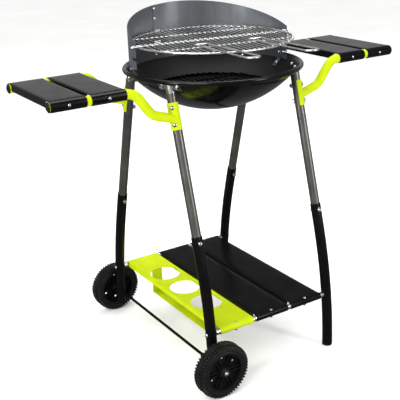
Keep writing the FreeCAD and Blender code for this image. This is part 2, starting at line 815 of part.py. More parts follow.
def screen_cutters():
    """The notches and slots for the grid's lugs and the holes of the screen's screws."""
    tall = cross_wire + 2 * notch_gap
    half = lug_width / 2 + cross_wire / 2 + notch_gap
    wide = 4 * screen_radius
    cutters = []
    for height in grid_heights:
        low = height - tall / 2
        cutters.append(Part.makeBox(wide, 2 * screen_overrun + half, tall,
                                    Vec(-wide / 2, -2 * screen_overrun, low)))
        cutters.append(Part.makeBox(2 * half, screen_radius, tall,
                                    Vec(back_lug_x - half, screen_radius / 2, low)))
    for spot, outward in seam_places():
        cutters.append(screw_hole(spot, outward))
    for x_side in (-1, 1):
        cutters.append(screw_hole(strap_screen_place(x_side)[0], Vec(1, 0, 0)))
    return Part.makeCompound(cutters)


def make_screen(left):
    overrun = math.degrees(math.asin(screen_overrun / screen_radius))
    lap = math.degrees(screen_seam_lap / 2 / screen_radius)
    if left:
        sheet = make_screen_sheet(left_sheet_radius, screen_seam_angle - lap, 180 + overrun)
    else:
        sheet = make_screen_sheet(screen_radius, -overrun, screen_seam_angle + lap)
    return turned(sheet.cut(screen_cutters()))


def seam_hardware():
    """Domed screws inside the screen at its seam, and their nuts outside."""
    grip = 2 * screen_sheet + 3 * sheet_gap
    pieces = []
    for spot, outward in seam_places():
        pieces.append(along(small_bolt(grip), spot, outward * -1))
        pieces.append(along(small_nut(grip), spot, outward * -1))
    return turned(Part.makeCompound(pieces))


def strap_hardware():
    """The two screws of each strap with their nuts."""
    pieces = []
    for x_side in (-1, 1):
        face = screen_radius if x_side > 0 else left_sheet_radius
        spot, outward = strap_screen_place(x_side)
        grip = face + screen_sheet - abs(spot.x)
        pieces.append(along(small_bolt(grip), spot, outward * -1))
        pieces.append(along(small_nut(grip), spot, outward * -1))
        spot, outward = strap_bowl_place(x_side)
        grip = sphere_radius - (spot - sphere_centre).Length
        pieces.append(along(small_bolt(grip), spot, outward * -1))
        pieces.append(along(small_nut(grip), spot, outward * -1))
    return turned(Part.makeCompound(pieces))


# ---- cooking grid and charcoal grate ----
def torus(radius, wire, height):
    return Part.makeTorus(radius, wire / 2, Vec(0, 0, height))


def chord(radius, offset):
    return math.sqrt(radius ** 2 - offset ** 2)


def lug(middle, direction, start, reach, spread, wire):
    """U of wire: two straight legs joined by a half circle at the far end."""
    sideways = UP.cross(direction)
    half = spread / 2
    turn = reach - half - wire / 2
    a = middle + direction * start + sideways * half
    b = middle + direction * turn + sideways * half
    tip = middle + direction * (turn + half)
    c = b - sideways * spread
    d = a - sideways * spread
    path = Part.Wire([Part.LineSegment(a, b).toShape(), Part.Arc(b, tip, c).toShape(),
                      Part.LineSegment(c, d).toShape()])
    return sweep(path, wire / 2)


def make_handle(x):
    """Long narrow loop welded across the front of the grid, its tip a little raised."""
    height = grid_height + bar_lift() + bar_wire / 2 + cross_wire / 2 - weld_depth
    start = handle_tail - cross_spread
    reach = grid_radius + handle_out
    run = reach - handle_width / 2 - cross_wire / 2
    slope = math.atan2(handle_rise, reach + start)
    outward = Vec(0, -math.cos(slope), math.sin(slope))
    pivot = Vec(x, start, height)
    sideways = Vec(1, 0, 0)
    length = (run + start) / math.cos(slope)
    half = handle_width / 2
    a = pivot + sideways * half
    b = a + outward * length
    tip = pivot + outward * (length + half)
    c = b - sideways * handle_width
    d = a - sideways * handle_width
    loop = Part.Wire([Part.LineSegment(a, b).toShape(), Part.Arc(b, tip, c).toShape(),
                      Part.LineSegment(c, d).toShape()])
    bar = cylinder(cross_wire / 2, handle_width, d, sideways)
    return turned(fuse([sweep(loop, cross_wire / 2), bar]))


def bar_lift():
    """Height of the bars' middle line above the ring's."""
    return (cross_wire + bar_wire) / 2 - weld_depth


def make_grid():
    pieces = [torus(grid_radius, ring_wire, grid_height)]
    count = int((grid_radius - bar_pitch / 2) / bar_pitch)
    height = grid_height + bar_lift()
    for step in range(-count, count + 1):
        x = step * bar_pitch
        half = chord(grid_radius, x)
        pieces.append(cylinder(bar_wire / 2, 2 * half, Vec(x, -half, height), Vec(0, 1, 0)))
    for y in (-cross_spread, cross_spread):
        half = chord(grid_radius, y)
        pieces.append(cylinder(cross_wire / 2, 2 * half, Vec(-half, y, grid_height), Vec(1, 0, 0)))
    middle = Vec(0, 0, grid_height)
    reach = grid_radius + lug_reach
    pieces.append(lug(middle, Vec(1, 0, 0), 0, reach, lug_width, cross_wire))
    pieces.append(lug(middle, Vec(-1, 0, 0), 0, reach, lug_width, cross_wire))
    back = Vec(back_lug_x, 0, grid_height)
    back_reach = chord(grid_radius, back_lug_x) + back_lug_reach
    pieces.append(lug(back, Vec(0, 1, 0), cross_spread - lug_tail, back_reach, lug_width, cross_wire))
    return turned(pieces[0].multiFuse(pieces[1:]))


def make_grate():
    """Round grate that rests by its rim on the bowl's wall."""
    rest = sphere_radius - bowl_sheet - grate_seat - grate_ring_wire / 2
    height = sphere_height - chord(rest, grate_radius)
    pieces = [torus(grate_radius, grate_ring_wire, height)]
    lift = grate_bar_wire - weld_depth
    count = int((grate_radius - grate_pitch / 2) / grate_pitch)
    for step in range(-count, count + 1):
        x = step * grate_pitch
        half = chord(grate_radius, x)
        start = Vec(x, -half, height + lift)
        pieces.append(cylinder(grate_bar_wire / 2, 2 * half, start, Vec(0, 1, 0)))
    for y in (-grate_cross_spread, grate_cross_spread):
        half = chord(grate_radius, y)
        pieces.append(cylinder(grate_bar_wire / 2, 2 * half, Vec(-half, y, height), Vec(1, 0, 0)))
    return pieces[0].multiFuse(pieces[1:])


# ---- wheels, drawn for the +Y side ----
leg_face_y = leg_point(wheel_radius).y + lower_tube / 2
washer_y = leg_face_y + leg_to_washer
wheel_inner_y = washer_y + washer_sheet + wheel_play
wheel_outer_y = wheel_inner_y + wheel_width
axle_nut_y = wheel_outer_y + wheel_play
axle_point = Vec(-leg_x, 0, wheel_radius)
tyre_inner = wheel_radius - tyre_depth
OUTWARD = Vec(0, 1, 0)


def axle_at(y):
    return axle_point + OUTWARD * y


def make_tread_ring():
    """Toothed outline of the tyre's shoulders."""
    points = []
    pitch = 2 * math.pi / tread_lugs
    corners_of_lug = ((-tread_foot_share / 2, wheel_radius - tread_depth),
                      (-tread_top_share / 2, wheel_radius),
                      (tread_top_share / 2, wheel_radius),
                      (tread_foot_share / 2, wheel_radius - tread_depth))
    for tooth in range(tread_lugs):
        middle = tooth * pitch - math.pi / 2
        for share, radius in corners_of_lug:
            angle = middle + share * pitch
            points.append(Vec(radius * math.cos(angle), 0, radius * math.sin(angle)))
    return polygon(points)


def make_tyre():
    outline = make_tread_ring()
    start = axle_at(wheel_inner_y)
    shoulders = []
    for offset in (0, wheel_width - tread_shoulder):
        tooth_ring = outline.extrude(OUTWARD * tread_shoulder)
        tooth_ring.translate(start + OUTWARD * offset)
        shoulders.append(tooth_ring)
    core = cylinder(wheel_radius - tread_band_drop, wheel_width - 2 * tread_shoulder,
                    start + OUTWARD * tread_shoulder, OUTWARD)
    tyre = fuse(shoulders + [core])
    return tyre.cut(cylinder(tyre_inner, wheel_width, start, OUTWARD))


def make_hub():
    start = axle_at(wheel_inner_y)
    rim = ring(tyre_inner - sheet_gap, tyre_inner - hub_wall, wheel_width, start, OUTWARD)
    web_y = wheel_width - hub_web_depth - hub_web
    web = cylinder(tyre_inner - hub_wall / 2, hub_web, start + OUTWARD * web_y, OUTWARD)
    boss = cylinder(hub_boss, wheel_width, start, OUTWARD)
    pieces = [rim, web, boss]
    length = tyre_inner - hub_wall
    for spoke in range(spoke_count):
        for side in (-1, 1):
            offset = side * spoke_spread / 2 - spoke_sheet / 2
            for low, tall in ((web_y + hub_web, spoke_height), (web_y - spoke_height, spoke_height)):
                rib = Part.makeBox(length, tall, spoke_sheet, Vec(0, low, offset))
                rib.rotate(ORIGIN, OUTWARD, 360.0 * spoke / spoke_count)
                rib.translate(start)
                pieces.append(rib)
    hub = fuse(pieces)
    for spoke in range(spoke_count):
        angle = math.radians(360.0 * (spoke + 0.5) / spoke_count)
        spot = start + Vec(math.cos(angle), 0, math.sin(angle)) * hub_hole_circle
        hub = hub.cut(cylinder(hub_hole / 2, wheel_width, spot, OUTWARD))
    return hub.cut(cylinder(axle_size / 2 + axle_run, wheel_width, start, OUTWARD))


def make_axle():
    end = axle_nut_y + axle_nut_height
    return cylinder(axle_size / 2, 2 * end, axle_at(-end), OUTWARD)


def make_washer():
    return ring(washer_size / 2, axle_size / 2, washer_sheet, axle_at(washer_y), OUTWARD)


def make_axle_nut():
    """Capped nut on the end of the axle."""
    nut = hex_nut(axle_nut_flats, axle_nut_height, axle_size / 2, 0)
    nut = along(nut, axle_at(axle_nut_y), OUTWARD * -1)
    cap = along(dome(axle_nut_cap / 2, axle_nut_dome), axle_at(axle_nut_y + axle_nut_height), OUTWARD)
    return fuse([nut, cap])


# ---- the whole assembly ----
def add_corner_parts(nodes):
    upper = make_upper_leg()
    bracket = make_bracket()
    arm = make_arm()
    for name, x_side, y_side in corners:
        end_height = wheel_leg_end if x_side < 0 else foot_cap_height + sheet_gap
        lower = mirrored(make_lower_leg(end_height), x_side, y_side)
        if x_side < 0:
            lower = drill_for_axle(lower)
        nodes["upper_leg_" + name] = mirrored(upper, x_side, y_side)
        nodes["lower_leg_" + name] = lower
        nodes["bowl_bracket_" + name] = mirrored(bracket, x_side, y_side)
        nodes["side_arm_" + name] = mirrored(arm, x_side, y_side)


def at_corners(shapes):
    return Part.makeCompound([mirrored(shape, x_side, y_side)
                              for name, x_side, y_side in corners for shape in shapes])


def add_corner_hardware(nodes):
    inner_face = sphere_radius - bowl_sheet
    bracket_grip = bowl_sheet + 3 * sheet_gap + bracket_sheet
    bolts = []
    nuts = []
    for spot, direction in bracket_bolt_places():
        start = sphere_centre + direction * (inner_face - sheet_gap)
        bolts.append(along(frame_bolt(bracket_grip), start, direction * -1))
        nuts.append(along(frame_nut(bracket_grip), start, direction * -1))
    nodes["bowl_bracket_bolts"] = at_corners(bolts)
    nodes["bowl_bracket_nuts"] = at_corners(nuts)
    saddle_grip = saddle_outer + upper_tube / 2
    starts = [spot + saddle_out * saddle_outer for spot in saddle_bolt_places()]
    nodes["side_arm_bolts"] = at_corners([along(frame_bolt(saddle_grip), s, saddle_out) for s in starts])
    nodes["side_arm_nuts"] = at_corners([along(frame_nut(saddle_grip), s, saddle_out) for s in starts])
    start = joint_bolt_place() + leg_across * (lower_tube / 2)
    nodes["leg_joint_bolts"] = at_corners([along(frame_bolt(lower_tube), start, leg_across)])
    nodes["leg_joint_nuts"] = at_corners([along(frame_nut(lower_tube), start, leg_across)])
    nodes["side_arm_caps"] = at_corners([make_arm_cap()])
    feet = [mirrored(make_foot_cap(), 1, side) for side in (-1, 1)]
    nodes["foot_caps"] = Part.makeCompound(feet)


def add_shelves(nodes):
    slot = ("inner", "outer")
    for side_name, x_side in (("left", -1), ("right", 1)):
        for place, middle in zip(slot, side_slat_middles()):
            nodes["side_slat_" + side_name + "_" + place] = make_side_slat(x_side * middle)
    nodes["side_slat_screws"] = side_slat_screw_set()
    middles = shelf_slat_middles()
    nodes["shelf_rod_back"] = make_rod(1)
    nodes["shelf_rod_front"] = make_rod(-1)
    nodes["shelf_rod_bolts"] = rod_bolt_set()
    nodes["shelf_rod_sleeves"] = rod_plug_set()
    nodes["bottle_slat"] = make_bottle_slat(middles[0])
    nodes["shelf_slat_middle"] = make_shelf_slat(middles[1])
    nodes["shelf_slat_right"] = make_shelf_slat(middles[2])
    nodes["bottle_strap"] = make_bottle_strap(middles[0])
    nodes["bottle_strap_rivets"] = strap_rivet_set(middles[0])
    grip = shelf_screw_grip()
    places = shelf_screw_places()
    nodes["shelf_slat_screws"] = Part.makeCompound([along(small_bolt(grip), p, UP) for p in places])
    nodes["shelf_slat_nuts"] = Part.makeCompound([along(small_nut(grip), p, UP) for p in places])


def add_fire_parts(nodes):
    nodes["bowl"] = make_bowl()
    nodes["windscreen_left"] = make_screen(True)
    nodes["windscreen_right"] = make_screen(False)
    nodes["windscreen_seam_screws"] = seam_hardware()
    nodes["windscreen_strap_left"] = turned(make_screen_strap(-1))
    nodes["windscreen_strap_right"] = turned(make_screen_strap(1))
    nodes["windscreen_strap_screws"] = strap_hardware()
    nodes["cooking_grid"] = make_grid()
    nodes["grid_handle_left"] = make_handle(-handle_x)
    nodes["grid_handle_right"] = make_handle(handle_x)
    nodes["charcoal_grate"] = make_grate()


def add_wheels(nodes):
    tyre = make_tyre()
    hub = make_hub()
    for name, side in (("back", 1), ("front", -1)):
        nodes[name + "_wheel_tyre"] = mirrored(tyre, 1, side)
        nodes[name + "_wheel_hub"] = mirrored(hub, 1, side)
    nodes["axle"] = make_axle()
    both = (-1, 1)
    nodes["axle_washers"] = Part.makeCompound([mirrored(make_washer(), 1, side) for side in both])
    nodes["axle_nuts"] = Part.makeCompound([mirrored(make_axle_nut(), 1, side) for side in both])


def middle_of_box(nodes):
    """Ground point under the middle of everything."""
    box = FreeCAD.BoundBox()
    for shape in nodes.values():
        box.add(shape.optimalBoundingBox(False))
    return Vec((box.XMin + box.XMax) / 2, (box.YMin + box.YMax) / 2, box.ZMin)


def main():
    nodes = {}
    add_fire_parts(nodes)
    add_corner_parts(nodes)
    add_corner_hardware(nodes)
    add_shelves(nodes)
    add_wheels(nodes)
    shift = middle_of_box(nodes) * -1
    os.makedirs("parts", exist_ok=True)
    for name, shape in nodes.items():
        moved = shape.copy()
        moved.translate(shift)
        moved.exportStep("parts/" + name + ".step")
        print(name, len(shape.Solids), "solids", round(shape.Volume, 1), "mm3", shape.isValid())
    print("moved to the middle of the box by", shift)
    print("foot at y", round(leg_foot_y, 3), "before the move")


main()
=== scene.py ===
import bpy, bmesh, json, math
from mathutils import Matrix, Vector


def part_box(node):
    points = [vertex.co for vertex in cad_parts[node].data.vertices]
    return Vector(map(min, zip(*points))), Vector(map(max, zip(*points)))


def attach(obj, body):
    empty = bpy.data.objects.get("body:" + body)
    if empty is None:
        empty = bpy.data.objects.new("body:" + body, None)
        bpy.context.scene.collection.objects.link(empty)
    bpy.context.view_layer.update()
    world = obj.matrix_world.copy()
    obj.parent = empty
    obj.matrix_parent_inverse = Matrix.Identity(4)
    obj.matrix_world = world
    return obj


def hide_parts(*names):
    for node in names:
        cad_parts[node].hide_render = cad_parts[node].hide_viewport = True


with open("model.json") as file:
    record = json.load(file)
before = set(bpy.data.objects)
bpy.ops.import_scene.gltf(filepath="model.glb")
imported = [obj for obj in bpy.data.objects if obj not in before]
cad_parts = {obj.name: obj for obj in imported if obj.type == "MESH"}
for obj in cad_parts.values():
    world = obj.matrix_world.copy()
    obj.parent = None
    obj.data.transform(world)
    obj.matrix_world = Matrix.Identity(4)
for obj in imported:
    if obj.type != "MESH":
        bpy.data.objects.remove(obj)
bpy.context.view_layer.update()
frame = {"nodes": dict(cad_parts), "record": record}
nodes = frame["nodes"]
mm = 0.001
weldGap = 0.01 * mm
print("frame loaded,", len(nodes), "nodes")


def hexColour(code):
    # sRGB hex to the linear colour that the shaders want
    parts = []
    for start in (0, 2, 4):
        value = int(code[start:start + 2], 16) / 255
        parts.append(value / 12.92 if value <= 0.04045 else ((value + 0.055) / 1.055) ** 2.4)
    return (parts[0], parts[1], parts[2], 1.0)


def addNode(tree, kind, settings=None, links=None):
    # a key that names an input sets its value, any other key sets the node itself
    node = tree.nodes.new(kind)
    for key, value in (settings or {}).items():
        if hasattr(node, str(key)):
            setattr(node, key, value)
        else:
            node.inputs[key].default_value = value
    for key, source in (links or {}).items():
        tree.links.new(source, node.inputs[key])
    return node


def startMaterial(name, finish):
    # a fresh material with its shader; the finish gives the shader's own sockets
    material = bpy.data.materials.new(name)
    material.use_nodes = True
    tree = material.node_tree
    shader = tree.nodes["Principled BSDF"]
    for key, value in finish.items():
        shader.inputs[key].default_value = value
    place = addNode(tree, "ShaderNodeTexCoord").outputs["Object"]
    return material, tree, shader, place


def spotted(tree, place, sizeMm, detail=2.0, rough=0.5):
    # noise whose blobs are about this many millimetres across
    return addNode(tree, "ShaderNodeTexNoise",
                   {"Scale": 1 / (sizeMm * mm), "Detail": detail, "Roughness": rough},
                   {"Vector": place}).outputs["Fac"]


def colourRange(tree, fac, low, high, start=0.3, end=0.7):
    ramp = addNode(tree, "ShaderNodeValToRGB", None, {"Fac": fac})
    ramp.color_ramp.elements[0].position = start
    ramp.color_ramp.elements[0].color = hexColour(low)
    ramp.color_ramp.elements[1].position = end
    ramp.color_ramp.elements[1].color = hexColour(high)
    return ramp.outputs["Color"]


def valueRange(tree, fac, low, high):
    return addNode(tree, "ShaderNodeMapRange", {"From Min": 0.3, "From Max": 0.7,
                                                "To Min": low, "To Max": high},
                   {"Value": fac}).outputs["Result"]


def bumped(tree, shader, height, depthMm, normal=None):
    links = {"Height": height}
    if normal:
        links["Normal"] = normal
    bump = addNode(tree, "ShaderNodeBump", {"Strength": 1.0, "Distance": depthMm * mm}, links)
    tree.links.new(bump.outputs["Normal"], shader.inputs["Normal"])
    return bump.outputs["Normal"]


enamel = {"black": "030303", "worn": "060606", "roughLow": 0.10, "roughHigh": 0.18, "sooty": 0.46,
          "facing": (-0.05, 0.15), "sootLine": (0.786, 0.796), "hazeMm": 60, "peelMm": 9.0,
          "peelDepthMm": 0.05}


def makeEnamel():
    # vitreous enamel fired on pressed steel: near black and glassy, with a faint orange peel
    # that bends long reflections, and a thin haze of handling marks. Inside, below the rim,
    # a film of soot takes the shine away
    material, tree, shader, place = startMaterial("fired black enamel", {"IOR": 1.5, "Metallic": 0.0,
                                                                        "Specular IOR Level": 0.32})
    haze = spotted(tree, place, enamel["hazeMm"], 4, 0.6)
    tree.links.new(colourRange(tree, haze, enamel["black"], enamel["worn"]), shader.inputs["Base Color"])
    normal = place.node.outputs["Normal"]
    facing = addNode(tree, "ShaderNodeSeparateXYZ", None, {"Vector": normal}).outputs["Z"]
    height = addNode(tree, "ShaderNodeSeparateXYZ", None, {"Vector": place}).outputs["Z"]
    upward = addNode(tree, "ShaderNodeMapRange", {"From Min": enamel["facing"][0],
                                                  "From Max": enamel["facing"][1]}, {"Value": facing})
    below = addNode(tree, "ShaderNodeMapRange", {"From Min": enamel["sootLine"][0],
                                                 "From Max": enamel["sootLine"][1],
                                                 "To Min": 1.0, "To Max": 0.0}, {"Value": height})
    inside = addNode(tree, "ShaderNodeMath", {"operation": "MULTIPLY"}, {0: upward.outputs["Result"],
                                                                        1: below.outputs["Result"]})
    clean = valueRange(tree, haze, enamel["roughLow"], enamel["roughHigh"])
    gloss = addNode(tree, "ShaderNodeMix", {"data_type": "FLOAT"},
                    {"Factor": inside.outputs[0], "A": clean})
    gloss.inputs["B"].default_value = enamel["sooty"]
    tree.links.new(gloss.outputs["Result"], shader.inputs["Roughness"])
    bumped(tree, shader, spotted(tree, place, enamel["peelMm"]), enamel["peelDepthMm"])
    return material


screenPaint = {"dark": "6a6d72", "light": "777a7e", "metallic": 0.72, "roughLow": 0.28, "roughHigh": 0.38,
               "bandMm": 26, "bandStretch": 0.06, "grainMm": 2.2, "grainShare": 0.35, "grainDepthMm": 0.015}


def makeScreenPaint():
    # heat resistant metallic paint sprayed on sheet steel: satin grey with a fine flake
    # and soft upright bands where the sheet was rolled
    material, tree, shader, place = startMaterial("heat resistant metallic paint",
                                                  {"Metallic": screenPaint["metallic"]})
    stretched = addNode(tree, "ShaderNodeMapping", {"Scale": (1.0, 1.0, screenPaint["bandStretch"])},
                        {"Vector": place}).outputs["Vector"]
    bands = spotted(tree, stretched, screenPaint["bandMm"], 3)
    flake = spotted(tree, place, screenPaint["grainMm"], 2)
    mixed = addNode(tree, "ShaderNodeMix", {"data_type": "FLOAT", "Factor": screenPaint["grainShare"]},
                    {"A": bands, "B": flake})
    tree.links.new(colourRange(tree, mixed.outputs["Result"], screenPaint["dark"], screenPaint["light"]),
                   shader.inputs["Base Color"])
    tree.links.new(valueRange(tree, bands, screenPaint["roughLow"], screenPaint["roughHigh"]),
                   shader.inputs["Roughness"])
    bumped(tree, shader, flake, screenPaint["grainDepthMm"])
    return material


powder = {
    "satin black powder coat": {"dark": "050505", "light": "080808", "metallic": 0.0, "gloss": 0.20,
                                "rough": (0.19, 0.25), "cloudMm": 45, "peelMm": 3.0, "depthMm": 0.002},
    "lime green powder coat": {"dark": "a9ba02", "light": "b4c504", "metallic": 0.0, "gloss": 0.10,
                               "rough": (0.34, 0.42), "cloudMm": 45, "peelMm": 1.8, "depthMm": 0.012},
    "silver metallic powder coat": {"dark": "656361", "light": "75736f", "metallic": 0.85, "gloss": 0.5,
                                    "rough": (0.26, 0.34), "cloudMm": 45, "peelMm": 1.6, "depthMm": 0.003},
}


def makePowderCoat(name):
    # polyester powder sprayed dry and baked: an even satin skin with a fine orange peel,
    # drawn about twice as coarse as the real one so that it shows
    look = powder[name]
    material, tree, shader, place = startMaterial(name, {"Metallic": look["metallic"],
                                                         "Specular IOR Level": look["gloss"]})
    cloud = spotted(tree, place, look["cloudMm"], 3)
    peel = spotted(tree, place, look["peelMm"], 2)
    tree.links.new(colourRange(tree, cloud, look["dark"], look["light"]), shader.inputs["Base Color"])
    tree.links.new(valueRange(tree, cloud, look["rough"][0], look["rough"][1]), shader.inputs["Roughness"])
    bumped(tree, shader, peel, look["depthMm"])
    return material


metals = {
    "chromed steel wire": {"dark": "e2e2e0", "light": "fafaf8", "rough": (0.25, 0.34),
                           "spotMm": 14, "pitMm": 1.5, "depthMm": 0.01},
    "fire blackened steel wire": {"dark": "0a0909", "light": "161514", "rough": (0.50, 0.70),
                                  "spotMm": 9, "pitMm": 1.5, "depthMm": 0.03},
    "bright zinc plate": {"dark": "b4b6b8", "light": "e2e4e6", "rough": (0.18, 0.32),
                          "spotMm": 5, "pitMm": 1.5, "depthMm": 0.01},
}


def makeMetal(name):
    # plated or bare wire and pressings: bright metal whose gloss varies in small patches
    # from the bath and from handling
    look = metals[name]
    material, tree, shader, place = startMaterial(name, {"Metallic": 1.0})
    patch = spotted(tree, place, look["spotMm"], 4, 0.6)
    tree.links.new(colourRange(tree, patch, look["dark"], look["light"]), shader.inputs["Base Color"])
    tree.links.new(valueRange(tree, patch, look["rough"][0], look["rough"][1]), shader.inputs["Roughness"])
    bumped(tree, shader, spotted(tree, place, look["pitMm"]), look["depthMm"])
    return material


plastics = {
    "moulded black polypropylene": {"dark": "060606", "light": "0b0b0b", "rough": (0.46, 0.60),
                                    "cloudMm": 18, "grainMm": 0.9, "depthMm": 0.02},
    "moulded black polyethylene": {"dark": "0a0a0a", "light": "121211", "rough": (0.36, 0.46),
                                   "cloudMm": 18, "grainMm": 1.2, "depthMm": 0.01},
}


def makePlastic(name):
    # moulded from dyed pellets: the mould's spark eroded grain gives a dull, slightly
    # greyed black with softer shine on worn corners
    look = plastics[name]
    material, tree, shader, place = startMaterial(name, {"IOR": 1.49, "Specular IOR Level": 0.35})
    cloud = spotted(tree, place, look["cloudMm"], 4)
    grain = spotted(tree, place, look["grainMm"], 2)
    tree.links.new(colourRange(tree, cloud, look["dark"], look["light"]), shader.inputs["Base Color"])
    tree.links.new(valueRange(tree, cloud, look["rough"][0], look["rough"][1]), shader.inputs["Roughness"])
    bumped(tree, shader, grain, look["depthMm"])
    return material


finishes = {
    "bowl_enamel": makeEnamel(),
    "screen_steel": makeScreenPaint(),
    "chromed_wire": makeMetal("chromed steel wire"),
    "grate_wire": makeMetal("fire blackened steel wire"),
    "leg_silver": makePowderCoat("silver metallic powder coat"),
    "leg_black": makePowderCoat("satin black powder coat"),
    "bracket_zinc": makeMetal("bright zinc plate"),
    "lime_paint": makePowderCoat("lime green powder coat"),
    "cap_plastic": makePlastic("moulded black polypropylene"),
    "tyre_plastic": makePlastic("moulded black polyethylene"),
}
finishes["slat_black"] = finishes["leg_black"]
finishes["axle_black"] = finishes["leg_black"]
finishes["rod_zinc"] = finishes["bracket_zinc"]
finishes["zinc_fasteners"] = finishes["bracket_zinc"]
finishes["hub_plastic"] = finishes["cap_plastic"]
print("materials made,", len(finishes), "finishes")

slotOf = {row["node"]: row["material_slot"] for row in frame["record"]["subparts"]}
for name, node in nodes.items():
    for slot in node.material_slots:
        slot.material = finishes[slotOf[name]]
print("finishes put on the nodes")


def makePiece(name, points, faces, body, slot, *replaced):
    # one mesh object that rides on a body, takes the slot's finish and hides the nodes it stands for
    mesh = bpy.data.meshes.new(name)
    mesh.from_pydata(points, [], faces)
    mesh.validate()
    piece = bpy.data.objects.new(name, mesh)
    bpy.context.scene.collection.objects.link(piece)
    mesh.materials.append(finishes[slot])
    tidyNormals(piece)
    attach(piece, body)
    if replaced:
        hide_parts(*replaced)
    return piece


def tidyNormals(piece):
    work = bmesh.new()
    work.from_mesh(piece.data)
    bmesh.ops.remove_doubles(work, verts=work.verts, dist=weldGap)
    bmesh.ops.recalc_face_normals(work, faces=work.faces)
    work.to_mesh(piece.data)
    work.free()


def smoothShade(piece, angle):
    # smooth except where faces meet more sharply than this many degrees
    for face in piece.data.polygons:
        face.use_smooth = True
    piece.data.set_sharp_from_angle(angle=math.radians(angle))


def settle(piece):
    # turn the modifiers into mesh
    graph = bpy.context.evaluated_depsgraph_get()
    made = bpy.data.meshes.new_from_object(piece.evaluated_get(graph))
    piece.modifiers.clear()
    old = piece.data
    piece.data = made
    bpy.data.meshes.remove(old)


def joinedRing(rows):
    # points and quads of a skin of rows, joined round in both directions
    points = [point for row in rows for point in row]
    across = len(rows[0])
    faces = []
    for i in range(len(rows)):
        up = ((i + 1) % len(rows)) * across
        for j in range(across):
            after = (j + 1) % across
            faces.append((i * across + j, i * across + after, up + after, up + j))
    return points, faces


def blendStep(value, low, high):
    # 0 below low, 1 above high, and a smooth ramp between
    share = min(max((value - low) / (high - low), 0.0), 1.0)
    return share * share * (3 - 2 * share)


# a blow moulded tyre with cleats over both shoulders; lengths in mm
tyre = {"cleats": 52, "stepsPerCleat": 8, "cleatShare": 0.40, "cleatRamp": 0.2, "groove": 4.6,
        "sideGroove": 2.8, "cleatInner": 62.5, "cleatRise": 4.0, "plainBand": (6.8, 8.0),
        "grooveRadii": (68, 75), "smoothAngle": 34,
        # distance from the wheel's middle plane and radius, from the bore round to the crown
        "profile": ((19.0, 54.0), (19.0, 55.6), (18.2, 56.6), (18.0, 58.0), (18.7, 59.4), (18.8, 62.0),
                    (18.3, 63.4), (18.2, 65.0), (18.3, 67.5), (17.6, 70.5), (16.2, 72.9), (13.8, 74.4),
                    (11.0, 75.0), (8.2, 75.0), (7.2, 74.2), (6.6, 73.0), (3.0, 73.1))}


def tyrePoint(offset, radius, turn, wheel):
    # cleats stand proud; between them the shoulder drops and the side is shaved a little
    pitch = 1.0 / tyre["cleats"]
    place = abs((turn / pitch) % 1.0 - 0.5) * 2
    gap = blendStep(place, tyre["cleatShare"], tyre["cleatShare"] + tyre["cleatRamp"])
    onSide = blendStep(radius, tyre["cleatInner"], tyre["cleatInner"] + tyre["cleatRise"])
    onShoulder = onSide * blendStep(abs(offset), *tyre["plainBand"])
    radius -= tyre["groove"] * gap * onShoulder * blendStep(radius, *tyre["grooveRadii"])
    offset -= math.copysign(tyre["sideGroove"] * gap * onShoulder, offset)
    angle = 2 * math.pi * turn
    return (wheel[0] + radius * mm * math.cos(angle),
            wheel[1] + offset * mm,
            wheel[2] + radius * mm * math.sin(angle))


def makeTyre(name, body, node):
    low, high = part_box(node)
    wheel = (low + high) / 2
    half = list(tyre["profile"])
    profile = half + [(-offset, radius) for offset, radius in reversed(half)]
    steps = tyre["cleats"] * tyre["stepsPerCleat"]
    rows = []
    for step in range(steps):
        rows.append([tyrePoint(offset, radius, step / steps, wheel) for offset, radius in profile])
    points, faces = joinedRing(rows)
    piece = makePiece(name, points, faces, body, "tyre_plastic", node)
    smoothShade(piece, tyre["smoothAngle"])
    return piece


for end in ("front", "back"):
    makeTyre("cleated_tyre_" + end, end + "_wheel", end + "_wheel_tyre")
print("tyres made")


# sheet steel folded down along both sides and rolled round the tubes at both ends; lengths in mm
slat = {"sheet": 1.5, "fold": 3.0, "foldSteps": 4, "rollTurn": 250, "rollSteps": 14, "sideLip": 18.0,
        "shelfLip": 14.0, "lipGap": 4.0, "inner": (0.7, 0.35), "stops": (1.0, 0.8, 0.6, 0.4, 0.2, 0.0),
        "smoothAngle": 40}


def slatAcross(half, lip):
    # half the sheet's width and its fold, as distance from the middle and drop, edge first
    fold = slat["fold"]
    side = [(half, lip), (half, (lip + fold) / 2)]
    for step in range(slat["foldSteps"] + 1):
        angle = math.pi / 2 * step / slat["foldSteps"]
        side.append((half - fold + fold * math.cos(angle), fold - fold * math.sin(angle)))
    side += [(half * share, 0.0) for share in slat["inner"]]
    return side + [(0.0, 0.0)] + [(-across, drop) for across, drop in reversed(side)]


def slatRoll(halfSpan, roll, tubeHeight):
    # the rolled line of one end, as distance along Y and height, from the cut edge to the flat
    line = []
    cutEdge = math.radians(180 - slat["rollTurn"])
    for step in range(slat["rollSteps"] + 1):
        angle = cutEdge + (math.pi / 2 - cutEdge) * step / slat["rollSteps"]
        line.append((halfSpan + roll * math.cos(angle), tubeHeight + roll * math.sin(angle), False))
    return line


